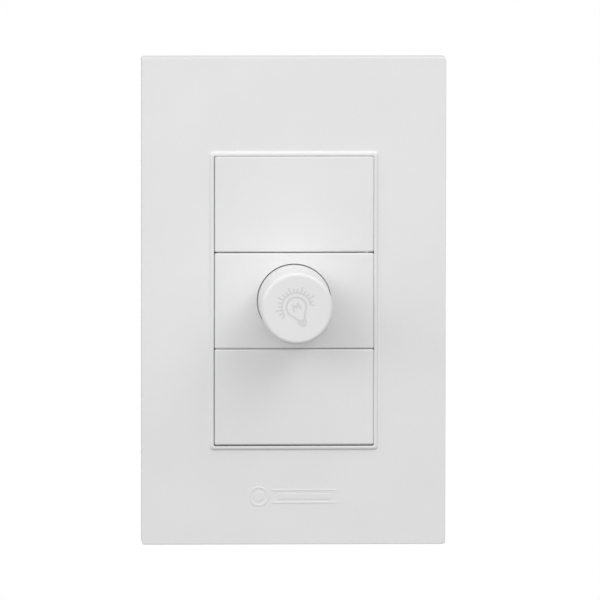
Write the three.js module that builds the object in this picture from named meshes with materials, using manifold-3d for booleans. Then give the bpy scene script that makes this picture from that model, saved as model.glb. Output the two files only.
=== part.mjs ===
// A rotary wall dimmer: a rectangular cover plate over a three-module support frame that holds a
// dimmer module with a push-on knob between two blank modules.
//
// Every piece is drawn as it is seen from the room, in millimetres: x to the right, y up and z out
// of the wall. z = 0 is the wall's surface. The exported group turns that into +Z up, front to -Y.
import * as THREE from "three";
import { mergeVertices } from "three/addons/utils/BufferGeometryUtils.js";
import Module from "manifold-3d";

const wasm = await Module();
wasm.setup();

// ---------------------------------------------------------------- driving dimensions

const TOUCH = 0.3; // gap between pieces that rest on each other
const BOND = 0.05; // gap between pieces that are glued, soldered or riveted together
const CUT = 1; // how far a cutting tool runs past the face that it opens

const PLATE = {
  width: 75,
  height: 120.5,
  x: -0.08, // the plate's middle, from the knob's axis
  y: -0.13,
  depth: 8,
  frontWall: 1.8,
  sideWall: 1.6,
  cornerRadius: 0.8,
  edge: 0.25,
};
const COLLAR = { width: 43.6, height: 75.6, wall: 0.9, cornerRadius: 1.2, rear: 3.2 };
const RIB = { x: 29, y: 15, length: 15.6, thickness: 1, rear: 3.8 }; // behind the plate's sides
const UPRIGHT_RIB = { x: 12, y: 48.3, length: 21.6 }; // behind the plate's ends
const PRY_NOTCH = { halfWidth: 4, height: 3, depth: 1.1 };
const OPENING = { width: 39.5, height: 71.8, x: -0.05, y: -0.04, radius: 0.4 };
const BEAD = { width: 0.98, rise: 0.5, edge: 0.4, cornerRadius: 1 }; // the rim round the opening
const MODULE = {
  width: 39.3,
  height: 23.7,
  topY: 23.98, // the modules' middles, from the knob's axis
  middleY: 0.04,
  bottomY: -23.77,
  faceThickness: 2,
  cornerRadius: 0.45,
  edge: 0.4,
  skirtWidth: 36.4,
  skirtHeight: 22.8,
  skirtWall: 1.3,
};
const FRAME = {
  width: 66,
  height: 106,
  thickness: 2,
  cornerRadius: 4,
  openingWidth: 37,
  openingHeight: 71.2,
  railTop: 6.2,
  railThickness: 1.7,
  barThickness: 1,
  rimWidth: 1.2,
  rimRise: 1.2,
};
const SCREW_SLOT = { width: 8, height: 4 };
const HOOK_HOLE = { width: 6.8, height: 3.6 };
const LIGHTENER = { x: 26.5, y: 20, width: 6, height: 11, radius: 1.5 };
const GUSSET = { rows: [-33, -7, 7, 33], near: 20, far: 23, thickness: 1.2, rear: 1, front: 2.9 };
const BOX_SCREW = {
  spacing: 83.3,
  headRadius: 3.5,
  headHeight: 2,
  shankRadius: 1.7,
  length: 24,
  driverSlot: 1,
};
const BLANK = { rear: -2.5, ribRear: -1.5, rib: 1, ribX: 8.6, notchX: 18 };
const KNOB = {
  radius: 9.04,
  frontRadius: 8.8,
  rise: 19.5,
  sunk: 1.8,
  wall: 1.4,
  top: 2,
  edge: 0.75,
  restAngle: 22.5,
};
const HUB = { radius: 4.6, web: 1, webHeight: 5 }; // inside the knob
const WELL = { radius: 9.2, wall: 1.2, top: 6, floor: 1.5, bushingHole: 3.8, skirtRear: -8 };
const SHAFT = { radius: 3, flatFrom: 11, flat: 1.5, top: 24.5, bottom: -2.9 };
const GROOVE = { bottom: 9.5, top: 10, depth: 0.5 }; // round the shaft, for its retaining ring
const HOUSING = { width: 33.4, height: 19.6, wall: 1.2, rear: -31, rearWall: 1.4, mouth: 1.2 };
const VENT = { columns: [-8, -4, 0, 4, 8], width: 1.5, rear: -20.5, front: -12 };
const REAR_SLOT = { columns: [-3, 0, 3], y: 1, width: 1.5, height: 9 };
const BOARD = { width: 30.4, height: 16.8, front: -8.2, rear: -9.8 };
const TERMINAL = {
  x: 10.5,
  tunnelY: -2,
  tunnel: 4.6,
  front: -22.5,
  rear: -29.2,
  halfWidth: 3.4,
  screwRadius: 1.6,
  screwHole: 3.1,
  headRadius: 2.7,
  legX: 13.2,
  legY: -4.9,
};
const SCREW_Z = (TERMINAL.front + TERMINAL.rear) / 2;
const POT = {
  radius: 6.8,
  bore: 3.1,
  thread: 3.5,
  waferRear: 1.6,
  waferFront: 2.8,
  canRadius: 7.2,
  canWall: 0.3,
  canRear: -4.6,
  pinX: 4.4,
  pinY: -7.9,
  stopHalfAngle: 36.5,
};
const TRIAC = {
  x: 1.8,
  width: 10,
  front: -13,
  bodyRear: -22,
  tabRear: -28.3,
  legPitch: 2.54,
  legY: -4.6,
  screwZ: -25.4,
};
const SINK = { left: -8.2, right: 11.8, low: -8.4, high: -7.2, rear: -28.6, front: -12.6 };
const CHOKE = { x: -9.2, y: 2.4, front: -10.7, rear: -15.7, inner: 2.7, outer: 5, wire: 0.8 };

const FACE = PLATE.depth + BEAD.rise; // front of the module faces
const FACE_BACK = FACE - MODULE.faceThickness;
const PLATE_INSIDE = PLATE.depth - PLATE.frontWall;
const BEHIND_PLATE = PLATE_INSIDE + BOND; // where the plate's inner ribs end in its front wall
const BEHIND_FACE = FACE_BACK + 0.2; // where a module's inner ribs end in its face
const BOX_SCREW_Y = BOX_SCREW.spacing / 2;
const HOOK = { x: 27, y: 45.5, width: 6, thickness: 1.8, rear: 0.5, barbTop: 1.9, barbRise: 0.4 };
const CLIP = { bottom: 2.9, top: 4.7, halfHeight: 3.5, rise: 0.8 };
const LATCH = { bottom: -6, top: -3.6, halfWidth: 3.8, rise: 1 };

// ---------------------------------------------------------------- materials

const plastic = (color, roughness) =>
  new THREE.MeshStandardMaterial({ color, roughness, metalness: 0 });
const metal = (color, roughness) =>
  new THREE.MeshStandardMaterial({ color, roughness, metalness: 1 });

const whitePlastic = plastic(0xe6e6e6, 0.45);
const knobPlastic = plastic(0xe4e4e4, 0.4);
const framePlastic = plastic(0xd2d3d1, 0.55);
const housingPlastic = plastic(0xc3c6c8, 0.5);
const blackPlastic = plastic(0x1c1c1e, 0.45);
const phenolic = plastic(0x6b4424, 0.6);
const boardGreen = plastic(0x2f6b3c, 0.5);
const carbon = plastic(0x18181a, 0.7);
const ferrite = plastic(0x3a3c40, 0.6);
const capacitorYellow = plastic(0xd9b23c, 0.4);
const capacitorRed = plastic(0x9c3226, 0.35);
const resistorBeige = plastic(0xcdb48a, 0.5);
const glassRed = plastic(0xa8562e, 0.15);
const fuseSand = plastic(0xd8d2c2, 0.5);
const zincSteel = metal(0xb9bcc0, 0.35);
const springSteel = metal(0xa2a5a8, 0.3);
const brass = metal(0xc9a552, 0.35);
const copper = metal(0xb5622f, 0.3);
const aluminium = metal(0xc4c6c8, 0.45);
const bronze = metal(0xb08046, 0.35);

// ---------------------------------------------------------------- solids from three.js geometry

// A closed three.js geometry as a solid.
function solid(geometry) {
  const bare = geometry.clone();
  bare.deleteAttribute("normal");
  bare.deleteAttribute("uv");
  const merged = mergeVertices(bare, 1e-5);
  const corners = merged.index.array;
  const kept = [];
  for (let i = 0; i < corners.length; i += 3) {
    const [a, b, c] = [corners[i], corners[i + 1], corners[i + 2]];
    if (a !== b && b !== c && a !== c) kept.push(a, b, c);
  }
  const made = new wasm.Mesh({
    numProp: 3,
    vertProperties: merged.attributes.position.array,
    triVerts: new Uint32Array(kept),
  });
  return new wasm.Manifold(made);
}

function geometryOf(shape) {
  const { vertProperties, triVerts } = shape.getMesh();
  const geometry = new THREE.BufferGeometry();
  geometry.setAttribute("position", new THREE.BufferAttribute(vertProperties, 3));
  geometry.setIndex(new THREE.BufferAttribute(triVerts, 1));
  geometry.computeVertexNormals();
  return geometry;
}

const union = (...shapes) => shapes.reduce((whole, shape) => whole.add(shape));
const cut = (whole, ...tools) => tools.reduce((left, tool) => left.subtract(tool), whole);

// A box between two opposite corners.
function box(x0, x1, y0, y1, z0, z1) {
  const geometry = new THREE.BoxGeometry(x1 - x0, y1 - y0, z1 - z0);
  geometry.translate((x0 + x1) / 2, (y0 + y1) / 2, (z0 + z1) / 2);
  return solid(geometry);
}

// A box of a given size centred on x and y.
const post = (x, y, width, height, z0, z1) =>
  box(x - width / 2, x + width / 2, y - height / 2, y + height / 2, z0, z1);

// A rectangle with round corners, centred on x and y.
function roundedRectangle(width, height, radius, x = 0, y = 0) {
  const [right, top] = [width / 2 - radius, height / 2 - radius];
  const outline = new THREE.Shape();
  outline.absarc(x + right, y + top, radius, 0, Math.PI / 2);
  outline.absarc(x - right, y + top, radius, Math.PI / 2, Math.PI);
  outline.absarc(x - right, y - top, radius, Math.PI, 1.5 * Math.PI);
  outline.absarc(x + right, y - top, radius, 1.5 * Math.PI, 2 * Math.PI);
  outline.closePath();
  return outline;
}

// An outline carried from z0 to z1.
function slab(outline, z0, z1, curveSegments = 4) {
  const settings = { depth: z1 - z0, bevelEnabled: false, curveSegments };
  const geometry = new THREE.ExtrudeGeometry(outline, settings);
  geometry.translate(0, 0, z0);
  return solid(geometry);
}

// A slab whose front edge is rounded off by `edge`; the outline is the slab's full size.
function softSlab(width, height, radius, z0, z1, edge) {
  const settings = {
    depth: z1 - z0,
    bevelThickness: edge,
    bevelSize: edge,
    bevelOffset: -edge,
    bevelSegments: 2,
    curveSegments: 4,
  };
  const outline = roundedRectangle(width, height, radius);
  const geometry = new THREE.ExtrudeGeometry(outline, settings);
  geometry.translate(0, 0, z0 - edge);
  const blank = solid(geometry);
  return blank.intersect(box(-width, width, -height, height, z0, z1));
}

// A rectangular tube: the outer size, the wall's thickness and the outer corner radius.
function rectangularTube(width, height, wall, radius, z0, z1) {
  const inner = roundedRectangle(width - 2 * wall, height - 2 * wall, Math.max(0.3, radius - wall));
  return cut(slab(roundedRectangle(width, height, radius), z0, z1), slab(inner, z0 - CUT, z1 + CUT));
}

function cylinder(radius, z0, z1, segments = 32) {
  const geometry = new THREE.CylinderGeometry(radius, radius, z1 - z0, segments);
  geometry.rotateX(Math.PI / 2);
  geometry.translate(0, 0, (z0 + z1) / 2);
  return solid(geometry);
}

// A ring about z, of one inner and one outer radius.
const ring = (inner, outer, z0, z1, segments = 32) =>
  cut(cylinder(outer, z0, z1, segments), cylinder(inner, z0 - CUT, z1 + CUT, segments));

// A closed profile of [radius, z] points turned about z.
function turned(profile, segments = 32) {
  const closed = [...profile, profile[0]];
  const area = closed
    .slice(1)
    .reduce((sum, [r, z], i) => sum + closed[i][0] * z - r * closed[i][1], 0);
  const points = (area > 0 ? closed : closed.reverse()).map(([r, z]) => new THREE.Vector2(r, z));
  const geometry = new THREE.LatheGeometry(points, segments);
  geometry.rotateX(Math.PI / 2);
  return solid(geometry);
}

// A triangle in the x-z or y-z plane carried along the third axis: the ramp of a snap catch.
// `side` is the outward direction along x, or along y when `alongX` is true.
function catchWedge(at, side, rise, half, bottom, top, alongX = false) {
  const outline = new THREE.Shape();
  outline.moveTo(at - side * 0.4, bottom);
  outline.lineTo(at + side * rise * 0.35, bottom);
  outline.lineTo(at + side * rise, top - 0.4);
  outline.lineTo(at + side * rise, top);
  outline.lineTo(at - side * 0.4, top);
  outline.closePath();
  const geometry = new THREE.ExtrudeGeometry(outline, { depth: 2 * half, bevelEnabled: false });
  geometry.translate(0, 0, -half);
  geometry.rotateX(Math.PI / 2);
  if (alongX) geometry.rotateZ(Math.PI / 2);
  return solid(geometry);
}

// ---------------------------------------------------------------- cover plate and frame

function coverPlate() {
  const { width, height, depth, sideWall, cornerRadius, edge } = PLATE;
  const skin = softSlab(width, height, cornerRadius, 0, depth, edge);
  const cavity = roundedRectangle(width - 2 * sideWall, height - 2 * sideWall, 0.5);
  const foot = -height / 2;
  const { halfWidth, height: notchHeight, depth: notchDepth } = PRY_NOTCH;
  const pryNotch = box(-halfWidth, halfWidth, foot - CUT, foot + notchHeight, -CUT, notchDepth);
  const hollow = slab(cavity, -CUT, PLATE_INSIDE);
  const tray = cut(skin, hollow, pryNotch).translate([PLATE.x, PLATE.y, 0]);
  const bead = softSlab(
    OPENING.width + 2 * BEAD.width, OPENING.height + 2 * BEAD.width, BEAD.cornerRadius,
    PLATE_INSIDE, FACE, BEAD.edge,
  ).translate([OPENING.x, OPENING.y, 0]);
  const opening = roundedRectangle(
    OPENING.width, OPENING.height, OPENING.radius, OPENING.x, OPENING.y,
  );
  const shell = cut(union(tray, bead), slab(opening, 0, FACE + CUT));
  const collar = rectangularTube(
    COLLAR.width, COLLAR.height, COLLAR.wall, COLLAR.cornerRadius, COLLAR.rear, BEHIND_PLATE,
  );
  const ribs = [-RIB.y, RIB.y].flatMap((y) =>
    [-RIB.x, RIB.x].map((x) => post(x, y, RIB.length, RIB.thickness, RIB.rear, BEHIND_PLATE)),
  );
  const uprights = [-UPRIGHT_RIB.x, UPRIGHT_RIB.x].flatMap((x) =>
    [-UPRIGHT_RIB.y, UPRIGHT_RIB.y].map((y) =>
      post(x, y, RIB.thickness, UPRIGHT_RIB.length, RIB.rear, BEHIND_PLATE),
    ),
  );
  return union(shell, collar, ...ribs, ...uprights, ...plateHooks());
}

// The four ratchet posts behind the plate, barbed on their outer side.
function plateHooks() {
  const { width, thickness, rear, barbTop, barbRise } = HOOK;
  return [-1, 1].flatMap((right) =>
    [-1, 1].map((up) => {
      const stem = post(right * HOOK.x, up * HOOK.y, width, thickness, rear, BEHIND_PLATE);
      const barb = catchWedge(HOOK.y + thickness / 2, 1, barbRise, width / 2, rear, barbTop, true);
      const placed = (up > 0 ? barb : barb.mirror([0, 1, 0])).translate([right * HOOK.x, 0, 0]);
      return union(stem, placed);
    }),
  );
}

function supportFrame() {
  const { width, height, thickness, openingWidth, openingHeight } = FRAME;
  const base = slab(roundedRectangle(width, height, FRAME.cornerRadius), 0, thickness);
  const rim = rectangularTube(
    width, height, FRAME.rimWidth, FRAME.cornerRadius, 0, thickness + FRAME.rimRise,
  );
  const railsWidth = openingWidth + 2 * FRAME.railThickness;
  const railsHeight = openingHeight + 2 * FRAME.barThickness;
  const rails = slab(roundedRectangle(railsWidth, railsHeight, 0.8), 0, FRAME.railTop);
  const opening = slab(roundedRectangle(openingWidth, openingHeight, 0.5), -CUT, FRAME.railTop + CUT);
  const clipWindows = [MODULE.bottomY, 0, MODULE.topY].map((y) =>
    post(0, y, railsWidth + 2, 2 * CLIP.halfHeight + 1, CLIP.bottom - TOUCH, CLIP.top + TOUCH),
  );
  const screwSlots = [-1, 1].map((side) =>
    slab(
      roundedRectangle(
        SCREW_SLOT.width, SCREW_SLOT.height, SCREW_SLOT.height / 2 - 0.01, 0, side * BOX_SCREW_Y,
      ),
      -CUT, thickness + CUT,
    ),
  );
  const hookHoles = [-1, 1].flatMap((right) =>
    [-1, 1].map((up) =>
      post(
        right * HOOK.x, up * HOOK.y, HOOK_HOLE.width, HOOK_HOLE.height, -CUT, thickness + CUT,
      ),
    ),
  );
  const lighteners = [-LIGHTENER.x, LIGHTENER.x].flatMap((x) =>
    [-LIGHTENER.y, LIGHTENER.y].map((y) => {
      const window = roundedRectangle(LIGHTENER.width, LIGHTENER.height, LIGHTENER.radius, x, y);
      return slab(window, -CUT, thickness + CUT);
    }),
  );
  const halfGusset = GUSSET.thickness / 2;
  const gussets = [-1, 1].flatMap((right) =>
    GUSSET.rows.map((y) =>
      box(
        ...span(right, GUSSET.near, GUSSET.far), y - halfGusset, y + halfGusset,
        GUSSET.rear, GUSSET.front,
      ),
    ),
  );
  const body = cut(union(base, rim, rails, ...gussets), opening, ...clipWindows);
  return cut(body, ...screwSlots, ...hookHoles, ...lighteners);
}

// The two ends of a stretch on the right (side 1) or left (side -1) of the middle, in order.
const span = (side, near, far) => (side > 0 ? [near, far] : [-far, -near]);

function boxScrew() {
  const seat = FRAME.thickness + TOUCH;
  const { headRadius, headHeight, shankRadius, length, driverSlot } = BOX_SCREW;
  const crown = seat + headHeight;
  const screw = turned([
    [0, crown],
    [headRadius * 0.6, crown],
    [headRadius, crown - 0.7],
    [headRadius, seat],
    [shankRadius, seat],
    [shankRadius, crown - length + 1],
    [shankRadius * 0.45, crown - length],
    [0, crown - length],
  ], 24);
  const halfSlot = driverSlot / 2;
  return cut(screw, box(-headRadius, headRadius, -halfSlot, halfSlot, crown - 1, crown + CUT));
}

// ---------------------------------------------------------------- modules

// The face, the skirt and the side catches that every module has.
function moduleShell(skirtEnd) {
  const { width, height, cornerRadius, edge, skirtWidth, skirtHeight, skirtWall } = MODULE;
  const face = softSlab(width, height, cornerRadius, FACE_BACK, FACE, edge);
  const skirt = rectangularTube(skirtWidth, skirtHeight, skirtWall, 0.8, skirtEnd, BEHIND_FACE);
  const catches = [-1, 1].map((side) =>
    catchWedge((side * skirtWidth) / 2, side, CLIP.rise, CLIP.halfHeight, CLIP.bottom, CLIP.top),
  );
  return union(face, skirt, ...catches);
}

function blankModule() {
  const { rear, ribRear, rib, ribX, notchX } = BLANK;
  const halfWidth = MODULE.skirtWidth / 2 - 1;
  const halfHeight = MODULE.skirtHeight / 2 - 1;
  const crossRib = box(-halfWidth, halfWidth, -rib / 2, rib / 2, ribRear, BEHIND_FACE);
  const uprights = [-ribX, 0, ribX].map((x) =>
    box(x - rib / 2, x + rib / 2, -halfHeight, halfHeight, ribRear, BEHIND_FACE),
  );
  const releaseNotches = [-notchX, notchX].map((x) => post(x, 0, 4, 5, rear - CUT, rear + 1.3));
  return cut(union(moduleShell(rear), crossRib, ...uprights), ...releaseNotches);
}

function dimmerFrontCap() {
  const { radius, wall, top, floor, bushingHole, skirtRear } = WELL;
  const blank = moduleShell(skirtRear).translate([0, MODULE.middleY, 0]);
  const shell = cut(blank, cylinder(radius, FACE_BACK - CUT, FACE + CUT, 64));
  const wellWall = ring(radius, radius + wall, top - floor, BEHIND_FACE, 64);
  const wellFloor = ring(bushingHole, radius + wall, top - floor, top, 64);
  const latchWindow = post(
    0, 0, 2 * LATCH.halfWidth + 0.8, 2 * MODULE.skirtHeight, LATCH.bottom - TOUCH, LATCH.top + TOUCH,
  );
  return cut(union(shell, wellWall, wellFloor), latchWindow);
}

function dimmerHousing() {
  const { width, height, wall, rear, rearWall, mouth } = HOUSING;
  const outside = slab(roundedRectangle(width, height, 1), rear, mouth);
  const inside = slab(
    roundedRectangle(width - 2 * wall, height - 2 * wall, 0.5), rear + rearWall, mouth + CUT,
  );
  const latches = [-1, 1].map((up) => {
    const latch = catchWedge(
      height / 2, 1, LATCH.rise, LATCH.halfWidth, -LATCH.top, -LATCH.bottom, true,
    );
    const turnedOver = latch.mirror([0, 0, 1]);
    return up > 0 ? turnedOver : turnedOver.mirror([0, 1, 0]);
  });
  const ledges = [-1, 1].flatMap((right) =>
    [-1, 1].map((up) =>
      box(...span(right, 14.4, 15.8), ...span(up, 7.2, 9), rear + 1, BOARD.rear - TOUCH),
    ),
  );
  const vents = VENT.columns.map((x) => post(x, 0, VENT.width, 2 * height, VENT.rear, VENT.front));
  const rearSlots = REAR_SLOT.columns.map((x) =>
    post(
      x, REAR_SLOT.y, REAR_SLOT.width, REAR_SLOT.height, rear - CUT, rear + rearWall + CUT,
    ),
  );
  const screwHoles = [-1, 1].map((side) =>
    upright(TERMINAL.screwHole, 5, height, 24).translate([side * TERMINAL.x, 0, SCREW_Z]),
  );
  const ports = [-1, 1].map((side) => wirePort(side * TERMINAL.x));
  const walls = cut(outside, inside, ...vents, ...rearSlots, ...screwHoles, ...ports);
  return union(walls, ...latches, ...ledges);
}

// The square wire entry through the rear wall, wider at its mouth.
function wirePort(x) {
  const { rear, rearWall } = HOUSING;
  const { tunnel, tunnelY } = TERMINAL;
  const straight = post(x, tunnelY, tunnel, tunnel, rear - CUT, rear + rearWall + CUT);
  const settings = { depth: 0.01, bevelThickness: 0.7, bevelSize: 0.7, bevelSegments: 1 };
  const half = tunnel / 2;
  const outline = new THREE.Shape();
  outline.moveTo(x - half, tunnelY - half);
  outline.lineTo(x + half, tunnelY - half);
  outline.lineTo(x + half, tunnelY + half);
  outline.lineTo(x - half, tunnelY + half);
  outline.closePath();
  const funnel = new THREE.ExtrudeGeometry(outline, settings);
  funnel.translate(0, 0, rear);
  return union(straight, solid(funnel));
}

// A cylinder about y, from y0 to y1.
function upright(radius, y0, y1, segments = 24) {
  const geometry = new THREE.CylinderGeometry(radius, radius, y1 - y0, segments);
  geometry.translate(0, (y0 + y1) / 2, 0);
  return solid(geometry);
}

// A cylinder about x, from x0 to x1.
function lying(radius, x0, x1, segments = 16) {
  const geometry = new THREE.CylinderGeometry(radius, radius, x1 - x0, segments);
  geometry.rotateZ(Math.PI / 2);
  geometry.translate((x0 + x1) / 2, 0, 0);
  return solid(geometry);
}

// ---------------------------------------------------------------- knob and shaft (the turning body)

function knob() {
  const { radius, frontRadius, edge, wall, top } = KNOB;
  const [base, front] = [FACE - KNOB.sunk, FACE + KNOB.rise];
  const ceiling = front - top;
  const rounding = [0, 1, 2, 3, 4].map((step) => {
    const angle = (step / 4) * (Math.PI / 2);
    return [frontRadius - edge + edge * Math.cos(angle), front - edge + edge * Math.sin(angle)];
  });
  const cup = turned([
    [0, ceiling],
    [radius - wall, ceiling],
    [radius - wall, base],
    [radius - 0.3, base],
    [radius, base + 0.3],
    ...rounding,
    [0, front],
  ], 64);
  const hubTop = ceiling + 0.2;
  const hub = cylinder(HUB.radius, SHAFT.flatFrom - 0.8, hubTop, 32);
  const webs = [0, 60, 120].map((angle) =>
    post(0, 0, 2 * (radius - 1), HUB.web, ceiling - HUB.webHeight, hubTop).rotate([0, 0, angle]),
  );
  const [flatAt, flatFrom] = [SHAFT.flat + 0.1, SHAFT.flatFrom + TOUCH];
  const flatSide = box(-SHAFT.radius, SHAFT.radius, flatAt, SHAFT.radius + 1, flatFrom, front);
  const bore = cut(cylinder(POT.bore, 0, SHAFT.top + TOUCH, 32), flatSide);
  return cut(union(cup, hub, ...webs), bore);
}

// A split spring ring that squeezes the knob's hub onto the shaft.
function knobClip() {
  const inner = HUB.radius + 0.1;
  const body = ring(inner, inner + 0.5, SHAFT.flatFrom, SHAFT.flatFrom + 3.6, 32);
  return cut(body, box(-0.9, 0.9, 0, 8, 0, 30));
}

function potShaft() {
  const { radius, flat, flatFrom, top, bottom } = SHAFT;
  const body = turned([
    [0, bottom],
    [radius, bottom],
    [radius, GROOVE.bottom],
    [radius - GROOVE.depth, GROOVE.bottom],
    [radius - GROOVE.depth, GROOVE.top],
    [radius, GROOVE.top],
    [radius, top - 0.5],
    [radius - 0.5, top],
    [0, top],
  ], 32);
  return cut(body, box(-radius, radius, flat, radius + 1, flatFrom, top + CUT));
}

// The open retaining ring in the shaft's groove, over the end of the bushing.
function shaftRing() {
  const inner = SHAFT.radius - GROOVE.depth + 0.15;
  const body = ring(inner, 4, GROOVE.bottom + BOND, GROOVE.top - BOND, 32);
  return cut(body, box(-1, 1, -6, 0, GROOVE.bottom - 0.5, GROOVE.top + 1));
}

function potRotor() {
  const disc = ring(POT.bore, 5.6, -2.2, -1, 32);
  const hub = ring(POT.bore, 4.2, -2.8, -0.6, 32);
  const stop = box(-0.8, 0.8, 4.5, 6.3, -2.2, -1);
  return union(disc, hub, stop);
}

// The sprung contact on the rotor: a flat ring with two fingers that reach the track.
function potWiper() {
  const plate = ring(4.35, 5.5, -0.95, -0.75, 32);
  const finger = (x) =>
    union(
      post(x, 5, 0.5, 0.9, -0.95, -0.6),
      post(x, 5.2, 0.5, 0.5, -0.8, 1),
      post(x, 5, 0.5, 0.9, 0.95, 1.2),
    );
  return union(plate, finger(-0.6), finger(0.6));
}

// ---------------------------------------------------------------- potentiometer (fixed pieces)

const potBushing = () =>
  turned([
    [POT.bore, 2.9],
    [POT.radius, 2.9],
    [POT.radius, 3.9],
    [5, 3.9],
    [5, 4.4],
    [POT.thread, 4.4],
    [POT.thread, 8.8],
    [3.2, 9.2],
    [POT.bore, 9.2],
  ], 32);

function potLockWasher() {
  const teeth = Array.from({ length: 8 }, (_, i) =>
    post(5.6, 0, 1.6, 0.8, WELL.top, WELL.top + 1).rotate([0, 0, i * 45]),
  );
  return cut(ring(POT.thread + 0.15, 6.1, WELL.top + 0.1, WELL.top + 0.5, 32), ...teeth);
}

function potNut() {
  const blank = cylinder(10 / Math.sqrt(3), WELL.top + 0.6, WELL.top + 2.6, 6);
  return cut(blank, cylinder(POT.thread + 0.15, 0, 20, 32));
}

function potWafer() {
  const { radius, waferRear, waferFront } = POT;
  const tongue = box(-6, 6, -8.5, -4, waferRear, waferFront);
  return cut(union(cylinder(radius, waferRear, waferFront, 32), tongue), cylinder(3.4, 0, 4, 32));
}

// The horseshoe of resistive carbon, open towards the pins.
function potTrack() {
  const opening = box(-2.4, 2.4, -8, 0, 0, 3);
  return cut(ring(4.2, 6, 1.3, POT.waferRear - BOND, 48), opening);
}

function potCan() {
  const { canRadius, canWall, canRear } = POT;
  const cup = turned([
    [0, canRear],
    [canRadius - 0.2, canRear],
    [canRadius, canRear + 0.2],
    [canRadius, 1.2],
    [canRadius - canWall, 1.2],
    [canRadius - canWall, canRear + 0.4],
    [0, canRear + 0.4],
  ], 48);
  const tab = union(box(6.95, 7.25, -1.2, 1.2, 0.8, 4.3), box(5.9, 7.25, -1.2, 1.2, 4, 4.3));
  const tabs = [0, 90, 180].map((angle) => tab.rotate([0, 0, angle]));
  return union(cup, potStop(), ...tabs);
}

// The dent in the can's lower side that the rotor's lug meets at both ends of its turn.
function potStop() {
  const halfAngle = THREE.MathUtils.degToRad(POT.stopHalfAngle);
  const outline = new THREE.Shape();
  outline.absarc(0, 0, 7, -Math.PI / 2 - halfAngle, -Math.PI / 2 + halfAngle);
  outline.absarc(0, 0, 5.9, -Math.PI / 2 + halfAngle, -Math.PI / 2 - halfAngle, true);
  outline.closePath();
  return slab(outline, -2.5, -0.7, 8);
}

// One solder pin: a lug on the wafer and a strip that runs back through the circuit board.
function potPin(x) {
  const { pinY } = POT;
  const lug = box(x - 0.9, x + 0.9, -8.4, -7.5, 1.25, POT.waferRear - BOND);
  return union(lug, box(x - 0.5, x + 0.5, pinY - 0.2, pinY + 0.2, BOARD.rear - 1, 1.5));
}

// ---------------------------------------------------------------- circuit board and its parts

function circuitBoard() {
  const { width, height, front, rear } = BOARD;
  const board = box(-width / 2, width / 2, -height / 2, height / 2, rear, front);
  const [from, to] = [rear - CUT, front + CUT];
  const pinNotches = [-1, 0, 1].map((i) => post(i * POT.pinX, -8.2, 1.8, 1.6, from, to));
  const legHoles = [-1, 0, 1].map((i) =>
    post(TRIAC.x + i * TRIAC.legPitch, TRIAC.legY, 1.4, 1.1, from, to),
  );
  const lugHoles = [-1, 1].map((side) =>
    post(side * TERMINAL.legX, TERMINAL.legY, 1.8, 1.4, from, to),
  );
  return cut(board, ...pinNotches, ...legHoles, ...lugHoles);
}

function triacBody() {
  const { x, width, front, bodyRear } = TRIAC;
  return box(x - width / 2, x + width / 2, -5.8, -2.6, bodyRear, front);
}

function triacTab() {
  const { x, width, front, tabRear } = TRIAC;
  const plate = box(x - width / 2, x + width / 2, -7.1, -5.85, tabRear, front);
  return cut(plate, upright(1.8, -9, 0).translate([x, 0, TRIAC.screwZ]));
}

function triacLeg(i) {
  const { x, legPitch, legY, front } = TRIAC;
  return post(x + i * legPitch, legY, 0.8, 0.5, front + BOND, BOARD.front + 0.8);
}

function heatSink() {
  const { left, right, low, high, rear, front } = SINK;
  const plate = box(left, right, low, high, rear, front);
  const lip = box(left, left + 1.2, low, low + 2.8, rear, -17);
  const tapped = upright(1.3, -10, 0, 16).translate([TRIAC.x, 0, TRIAC.screwZ]);
  return cut(union(plate, lip), tapped);
}

// The pan-head screw that holds the triac's tab to the heat sink.
function heatSinkScrew() {
  const head = upright(2.7, -5.75, -3.9);
  const shank = upright(1.2, -8.3, -5.5, 16);
  return union(head, shank).translate([TRIAC.x, 0, TRIAC.screwZ]);
}

const chokeCore = () =>
  ring(CHOKE.inner, CHOKE.outer, CHOKE.rear, CHOKE.front, 32).translate([CHOKE.x, CHOKE.y, 0]);

// The copper turns as one sleeve round most of the core.
function chokeWinding() {
  const { inner, outer, rear, front, wire } = CHOKE;
  const outside = ring(inner - wire, outer + wire, rear - 0.5, front + 0.5, 32);
  const room = ring(inner - 0.1, outer + 0.1, rear - 0.1, front + 0.1, 32);
  const opening = box(0, 9, -1.6, 1.6, rear - CUT, front + CUT);
  const feet = [-1, 1].map((side) =>
    post(outer, side * 2.2, 0.7, 0.7, front + 0.2, BOARD.rear - BOND),
  );
  return union(cut(outside, room, opening), ...feet).translate([CHOKE.x, CHOKE.y, 0]);
}

// A box capacitor with two leads down to the board.
function boxCapacitor(x, y, width, thickness, rear) {
  const body = post(x, y, width, thickness, rear, BOARD.rear - 0.4);
  const leads = [-1, 1].map((side) =>
    post(x + side * (width / 2 - 1), y, 0.6, 0.6, BOARD.rear - 0.6, BOARD.rear - BOND),
  );
  return union(body, ...leads);
}

// An axial part lying on the board, with its leads bent into it.
function axialPart(x, y, length, radius, reach) {
  const z = BOARD.rear - radius - 0.3;
  const body = lying(radius, x - length / 2, x + length / 2).translate([0, y, z]);
  const wire = box(x - reach, x + reach, y - 0.3, y + 0.3, z - 0.3, z + 0.3);
  const feet = [-1, 1].map((side) =>
    post(x + side * (reach - 0.3), y, 0.6, 0.6, z, BOARD.rear - BOND),
  );
  return union(body, wire, ...feet);
}

// ---------------------------------------------------------------- terminals

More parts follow.
